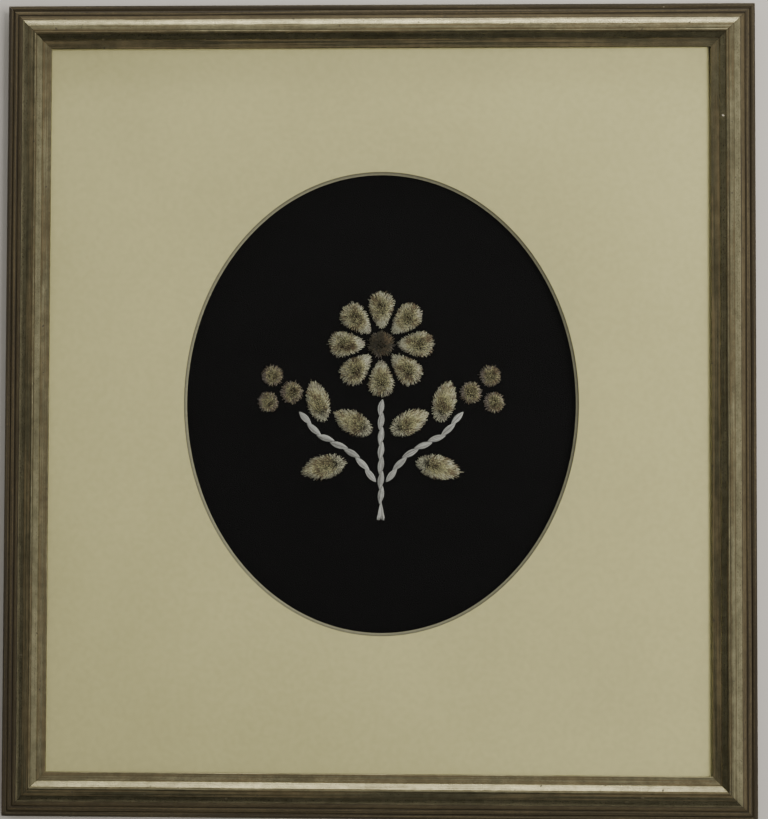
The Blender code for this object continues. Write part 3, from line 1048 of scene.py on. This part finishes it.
def smooth_path(route, mirror):
    """Close points of a smooth curve through ROUTE, with X times MIRROR."""
    knots = [Vector((mirror * x, y, 0.0)) for x, y in route]
    knots = [2 * knots[0] - knots[1], *knots, 2 * knots[-1] - knots[-2]]
    fine = []
    for a, b, c, d in zip(knots, knots[1:], knots[2:], knots[3:]):
        for i in range(PATH_STEPS):
            t = i / PATH_STEPS
            linear = (c - a) * t
            square = (2 * a - 5 * b + 4 * c - d) * t**2
            cube = (3 * b - a - 3 * c + d) * t**3
            fine.append(b + (linear + square + cube) / 2)
    fine.append(knots[-2])
    return fine


def turn_outwards(item):
    work = bmesh.new()
    work.from_mesh(item.data)
    bmesh.ops.recalc_face_normals(work, faces=work.faces)
    work.to_mesh(item.data)
    work.free()


class HAIRWORK_OT_rails(bpy.types.Operator):
    """Builds the four mitred rails of the frame"""

    bl_idname = "hairwork.rails"
    bl_label = "Build rails"

    def execute(self, context):
        look = settings().rails
        tree = moulding_tree()
        silver = silver_material()
        wood = wood_material("bare moulding wood", look.wood, (900.0, 35.0, 900.0), (3500.0, 300.0, 3500.0))
        half_width = OUTER_WIDTH / 2
        half_height = OUTER_HEIGHT / 2
        sides = (
            ("bottom", OUTER_WIDTH, (0.0, -half_height), 0),
            ("right", OUTER_HEIGHT, (half_width, 0.0), 90),
            ("top", OUTER_WIDTH, (0.0, half_height), 180),
            ("left", OUTER_HEIGHT, (-half_width, 0.0), 270),
        )
        for order, (side, length, place, turn) in enumerate(sides):
            values = {
                "Length": length,
                "Set back": MITRE_SETBACK,
                "Steps": look.steps,
                "Wear": look.wear,
                "Start": STREAK_SHIFT * (order + 1),
                "Finish": silver,
                "Bare wood": wood,
            }
            rail = grow(f"silvered_rail_{side}", section_mesh(), tree, values)
            seat = Matrix.Translation((*place, 0.0)) @ Matrix.Rotation(math.radians(turn), 4, "Z")
            rail.data.transform(seat)
            turn_outwards(rail)
            smooth(rail, 40)
            dress(rail, f"rail_{side}")
        return {"FINISHED"}


def window_ring(work, inset, z, steps):
    """Points of the oval window, INSET from its front edge."""
    ring = []
    for i in range(steps):
        angle = 2 * math.pi * i / steps
        x = OVAL_MIDDLE.x + (OVAL_WIDTH / 2 - inset) * math.cos(angle)
        y = OVAL_MIDDLE.y + (OVAL_HEIGHT / 2 - inset) * math.sin(angle)
        ring.append(work.verts.new((x, y, z)))
    return ring


def border_ring(work, z, steps):
    """Points on the board's outer edge, one for each point of the window."""
    ring = []
    half_side = steps // 8
    for i in range(steps):
        side, step = divmod(i + half_side, 2 * half_side)
        share = step / half_side - 1.0
        along = ((1.0, share), (-share, 1.0), (-1.0, -share), (share, -1.0))[side % 4]
        ring.append(work.verts.new((along[0] * MAT_HIGH.x, along[1] * MAT_HIGH.y, z)))
    return ring


def bridge(work, lower, upper, slot_number=0):
    """Joins two rings of as many points with four-sided faces."""
    count = len(lower)
    for i in range(count):
        j = (i + 1) % count
        face = work.faces.new((lower[i], lower[j], upper[j], upper[i]))
        face.material_index = slot_number


class HAIRWORK_OT_mat(bpy.types.Operator):
    """Builds the mat board with its bevelled oval window"""

    bl_idname = "hairwork.mat"
    bl_label = "Build mat"

    def execute(self, context):
        look = settings().mat
        work = bmesh.new()
        thickness = MAT_HIGH.z - MAT_LOW.z
        rings = [border_ring(work, MAT_LOW.z, look.steps), border_ring(work, MAT_HIGH.z, look.steps)]
        for inset, drop in ((-look.edge, 0.0), (-look.edge * 0.3, 0.3), (0.0, 1.0)):
            rings.append(window_ring(work, inset, MAT_HIGH.z - drop * look.edge, look.steps))
        rings.append(window_ring(work, thickness - look.edge, MAT_LOW.z, look.steps))
        for lower, upper in zip(rings, rings[1:]):
            bridge(work, lower, upper, 1 if upper is rings[-1] else 0)
        bridge(work, rings[-1], rings[0])
        mat = piece_from("oval_mat", work, (paper_material(), core_material()))
        smooth(mat, 30)
        dress(mat, "mat")
        return {"FINISHED"}


class HAIRWORK_OT_glass(bpy.types.Operator):
    """Gives the plain pane its glass and the board its fibres"""

    bl_idname = "hairwork.glass"
    bl_label = "Finish glass and backing"

    def execute(self, context):
        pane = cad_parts["glass"]
        pane.data.materials.clear()
        pane.data.materials.append(glass_material())
        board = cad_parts["backing_board"]
        tone = settings().velvet.board
        board.data.materials.clear()
        board.data.materials.append(
            wood_material("brown fibreboard", tone, (420.0, 420.0, 420.0), (1800.0, 2600.0, 1800.0))
        )
        return {"FINISHED"}


def velvet_wave(x, y):
    """Soft uneven swell of the cloth at X and Y, between -1 and 1."""
    return math.sin(x * 71 + 1.3 * math.sin(y * 43)) * math.sin(y * 59 + 1.7 * math.sin(x * 37))


class HAIRWORK_OT_velvet(bpy.types.Operator):
    """Builds the black velvet that lies on the board"""

    bl_idname = "hairwork.velvet"
    bl_label = "Build velvet"

    def execute(self, context):
        look = settings().velvet
        size = CLOTH_HIGH - CLOTH_LOW
        across = look.steps
        up = round(across * size.y / size.x)
        work = bmesh.new()
        top = []
        for j in range(up + 1):
            row = []
            for i in range(across + 1):
                x = CLOTH_LOW.x + size.x * i / across
                y = CLOTH_LOW.y + size.y * j / up
                row.append((x, y, look.swell * (velvet_wave(x, y) - 1.0) / 2))
            top.append(row)
        sheets = []
        for level, lift in ((CLOTH_LOW.z, 0.0), (CLOTH_HIGH.z, 1.0)):
            sheets.append([[work.verts.new((x, y, level + lift * z)) for x, y, z in row] for row in top])
        for sheet in sheets:
            for j in range(up):
                for i in range(across):
                    work.faces.new((sheet[j][i], sheet[j][i + 1], sheet[j + 1][i + 1], sheet[j + 1][i]))
        rims = []
        for sheet in sheets:
            rim = sheet[0][:-1] + [row[-1] for row in sheet[:-1]]
            rim += sheet[-1][:0:-1] + [row[0] for row in sheet[:0:-1]]
            rims.append(rim)
        bridge(work, rims[0], rims[1])
        cloth = piece_from("velvet_ground", work, (velvet_material(),))
        smooth(cloth, 60)
        dress(cloth, "ground_cloth")
        return {"FINISHED"}


def on_velvet(x, y):
    """A place just in the pile, X and Y being measured from the oval's middle."""
    return OVAL_MIDDLE + Vector((x, y, CLOTH_HIGH.z - PILE_GRIP))


def make_tuft(name, tree, middle, turn, values):
    """One tuft at MIDDLE, turned by TURN degrees, in place of the plain solid NAME."""
    tuft = grow(f"hair_{name}", bpy.data.meshes.new(name), tree, values)
    place = Matrix.Translation(on_velvet(middle[0], middle[1]))
    tuft.data.transform(place @ Matrix.Rotation(math.radians(turn), 4, "Z"))
    tuft.data.shade_smooth()
    dress(tuft, name)


def both_sides(kinds, seed):
    """Each of KINDS on the right and then on the left: its full name, mirror, kind and seed."""
    for side, mirror, shift in (("right", 1, 0), ("left", -1, LEFT_SIDE_SEED)):
        for order, kind in enumerate(kinds):
            yield f"{side}_{kind.name}", mirror, kind, seed + shift + TUFT_SEED_STEP * order


def hair_tones():
    look = settings().hair
    return look.cream, look.olive, look.brown, look.mauve


class HAIRWORK_OT_flower(bpy.types.Operator):
    """Builds the petals and the dark middle of the flower"""

    bl_idname = "hairwork.flower"
    bl_label = "Build flower"

    def execute(self, context):
        look = settings().hair
        tree = tuft_tree()
        cream = hair_material("cream moose hair", *hair_tones())
        reach = PETAL_START + PETAL_SIZE[0] / 2
        for i in range(PETAL_COUNT):
            turn = 90 + 360 * i / PETAL_COUNT
            across = Vector((math.cos(math.radians(turn)), math.sin(math.radians(turn)), 0.0))
            values = {
                "Hairs": look.per_petal,
                "Length": PETAL_SIZE[0],
                "Width": PETAL_SIZE[1],
                "Rise": PETAL_RISE,
                "Fullness": PETAL_FULLNESS,
                "Lean": -0.03,
                "Thickness": look.thickness,
                "Seed": look.seed + TUFT_SEED_STEP * i,
                "Material": cream,
            }
            middle = FLOWER_MIDDLE + reach * across
            make_tuft(f"petal_{i + 1}", tree, middle, turn, values)
        dark = hair_material("dark brown moose hair", look.dark, look.dark, look.brown, look.mauve, 0.8)
        values = {
            "Hairs": look.per_centre,
            "Length": CENTRE_SIZE[0],
            "Width": CENTRE_SIZE[1],
            "Rise": PETAL_RISE,
            "Thickness": look.thickness * 1.25,
            "Raggedness": 0.20,
            "Seed": look.seed + CENTRE_SEED,
            "Material": dark,
        }
        make_tuft("flower_centre", tree, FLOWER_MIDDLE, 0, values)
        return {"FINISHED"}


class HAIRWORK_OT_leaves(bpy.types.Operator):
    """Builds the three leaves of each side"""

    bl_idname = "hairwork.leaves"
    bl_label = "Build leaves"

    def execute(self, context):
        look = settings().hair
        tree = bpy.data.node_groups["Trimmed tuft"]
        leafy = hair_material("olive moose hair", *hair_tones())
        for name, mirror, leaf, seed in both_sides(LEAVES, look.seed + LEAF_SEED):
            values = {
                "Hairs": look.per_leaf,
                "Length": leaf.length,
                "Width": leaf.width,
                "Rise": LEAF_RISE,
                "Point": LEAF_POINT,
                "Lean": 0.12,
                "Thickness": look.thickness,
                "Seed": seed,
                "Material": leafy,
            }
            turn = leaf.direction if mirror > 0 else 180 - leaf.direction
            make_tuft(f"leaf_{name}", tree, (mirror * leaf.x, leaf.y), turn, values)
        return {"FINISHED"}


class HAIRWORK_OT_berries(bpy.types.Operator):
    """Builds the three berries of each side"""

    bl_idname = "hairwork.berries"
    bl_label = "Build berries"

    def execute(self, context):
        look = settings().hair
        tree = bpy.data.node_groups["Trimmed tuft"]
        grey = hair_material("grey brown moose hair", look.mauve, look.olive, look.brown, look.brown)
        for name, mirror, berry, seed in both_sides(BERRIES, look.seed + BERRY_SEED):
            values = {
                "Hairs": look.per_berry,
                "Length": 2 * berry.radius,
                "Width": 2 * berry.radius,
                "Rise": BERRY_RISE,
                "Thickness": look.thickness,
                "Raggedness": 0.12,
                "Seed": seed,
                "Material": grey,
            }
            make_tuft(f"berry_{name}", tree, (mirror * berry.x, berry.y), 0, values)
        return {"FINISHED"}


class HAIRWORK_OT_stems(bpy.types.Operator):
    """Builds the couched stems"""

    bl_idname = "hairwork.stems"
    bl_label = "Build stems"

    def execute(self, context):
        look = settings().stems
        tree = stem_tree()
        pale = stem_material()
        routes = (
            ("stem_middle", MAIN_STEM, 1, 1.0),
            ("stem_right", SIDE_STEM, 1, 0.0),
            ("stem_left", SIDE_STEM, -1, 0.0),
        )
        for order, (name, route, mirror, cut_foot) in enumerate(routes):
            path = smooth_path(route, mirror)
            length = sum((end - start).length for start, end in zip(path, path[1:]))
            base = bpy.data.meshes.new(name)
            base.from_pydata(path, [(i, i + 1) for i in range(len(path) - 1)], [])
            values = {
                "Stitches": round(length / STITCH_LENGTH),
                "Strands": look.strands,
                "Width": look.width,
                "Height": look.height,
                "Overlap": look.overlap,
                "Slant": look.slant * mirror,
                "Cut foot": cut_foot,
                "Seed": STEM_SEED + STEM_SEED_STEP * order,
                "Material": pale,
            }
            stem = grow(f"hair_{name}", base, tree, values)
            stem.data.transform(Matrix.Translation(on_velvet(0.0, 0.0)))
            stem.data.shade_smooth()
            dress(stem, name)
        return {"FINISHED"}


def add_lamp(lamp, power):
    light = bpy.data.lights.new(lamp.name, "AREA")
    light.shape = "RECTANGLE"
    light.size, light.size_y = lamp.size
    light.energy = power
    light.color = lamp.tone
    item = bpy.data.objects.new(lamp.name, light)
    bpy.context.scene.collection.objects.link(item)
    item.location = lamp.place
    aim = Vector(lamp.target) - Vector(lamp.place)
    item.rotation_euler = aim.to_track_quat("-Z", "Y").to_euler()
    item.visible_glossy = lamp.mirrored
    item.visible_transmission = lamp.mirrored


class HAIRWORK_OT_studio(bpy.types.Operator):
    """Sets the pale floor, the lamps, the room's light and the camera"""

    bl_idname = "hairwork.studio"
    bl_label = "Set up studio"

    def execute(self, context):
        look = settings().studio
        work = bmesh.new()
        bmesh.ops.create_circle(work, cap_ends=True, segments=96, radius=FLOOR_RADIUS)
        material, tree, shader = new_material("pale floor")
        tone = mottled(tree, own_coordinates(tree), 3.0, 0.985, 1.01)
        feed(tree, shader, {"Base Color": shade(tree, look.floor, tone), "Roughness": 0.8})
        floor = piece_from("studio_floor", work, (material,))
        floor.data.transform(Matrix.Translation((0.0, 0.0, -FLOOR_DROP)))
        for lamp in LAMPS:
            add_lamp(lamp, getattr(look, lamp.name))
        self.light_room(context.scene, look.sky)
        self.place_camera(context.scene, look.lens)
        return {"FINISHED"}

    def light_room(self, scene, brightness):
        """A dim room, pale beyond the picture's top and right and dark overhead and nearby."""
        world = bpy.data.worlds.new("room")
        scene.world = world
        world.use_nodes = True
        tree = world.node_tree
        x, y, _ = split(tree, own_coordinates(tree, "Generated"))
        right = (x + y * 0.15).ramp(0.24, 0.44) * (1 - x.ramp(0.55, 0.85) * 0.62)
        beyond = y.ramp(0.26, 0.46) * (1 - x.ramp(0.2, 0.7))
        level = (right * 3.8 + beyond * 2.2 + x * 0.10 + y * 0.30 + 0.38) * brightness
        feed(tree, tree.nodes["Background"], {"Strength": level, "Color": ROOM_TONE})

    def place_camera(self, scene, lens):
        camera = bpy.data.cameras.new("camera")
        camera.lens = lens
        item = bpy.data.objects.new("camera", camera)
        scene.collection.objects.link(item)
        item.location = CAMERA_PLACE
        item.rotation_euler = CAMERA_TURN
        scene.camera = item


class HAIRWORK_PT_pieces(bpy.types.Panel):
    """Lists the pieces and their settings"""

    bl_idname = "HAIRWORK_PT_pieces"
    bl_label = "Hair tufting"
    bl_space_type = "VIEW_3D"
    bl_region_type = "UI"
    bl_category = "Hair tufting"

    def draw(self, context):
        groups = context.scene.hair_tufting
        for operator, group in STEPS:
            box = self.layout.box()
            box.operator(operator.bl_idname)
            values = getattr(groups, group)
            for name in values.__annotations__:
                box.prop(values, name)


STEPS = (
    (HAIRWORK_OT_studio, "studio"),
    (HAIRWORK_OT_rails, "rails"),
    (HAIRWORK_OT_mat, "mat"),
    (HAIRWORK_OT_glass, "glass"),
    (HAIRWORK_OT_velvet, "velvet"),
    (HAIRWORK_OT_flower, "hair"),
    (HAIRWORK_OT_leaves, "hair"),
    (HAIRWORK_OT_berries, "hair"),
    (HAIRWORK_OT_stems, "stems"),
)
CLASSES = (
    RailSettings,
    MatSettings,
    GlassSettings,
    VelvetSettings,
    HairSettings,
    StemSettings,
    StudioSettings,
    PictureSettings,
    *(operator for operator, _ in STEPS),
    HAIRWORK_PT_pieces,
)


def register():
    for item in CLASSES:
        bpy.utils.register_class(item)
    bpy.types.Scene.hair_tufting = PointerProperty(type=PictureSettings)


def unregister():
    del bpy.types.Scene.hair_tufting
    for item in reversed(CLASSES):
        bpy.utils.unregister_class(item)


def main():
    register()
    for operator, _ in STEPS:
        group, name = operator.bl_idname.split(".")
        if getattr(getattr(bpy.ops, group), name)() != {"FINISHED"}:
            raise RuntimeError(f"{operator.bl_label} didn't finish")


if __name__ == "__main__":
    main()
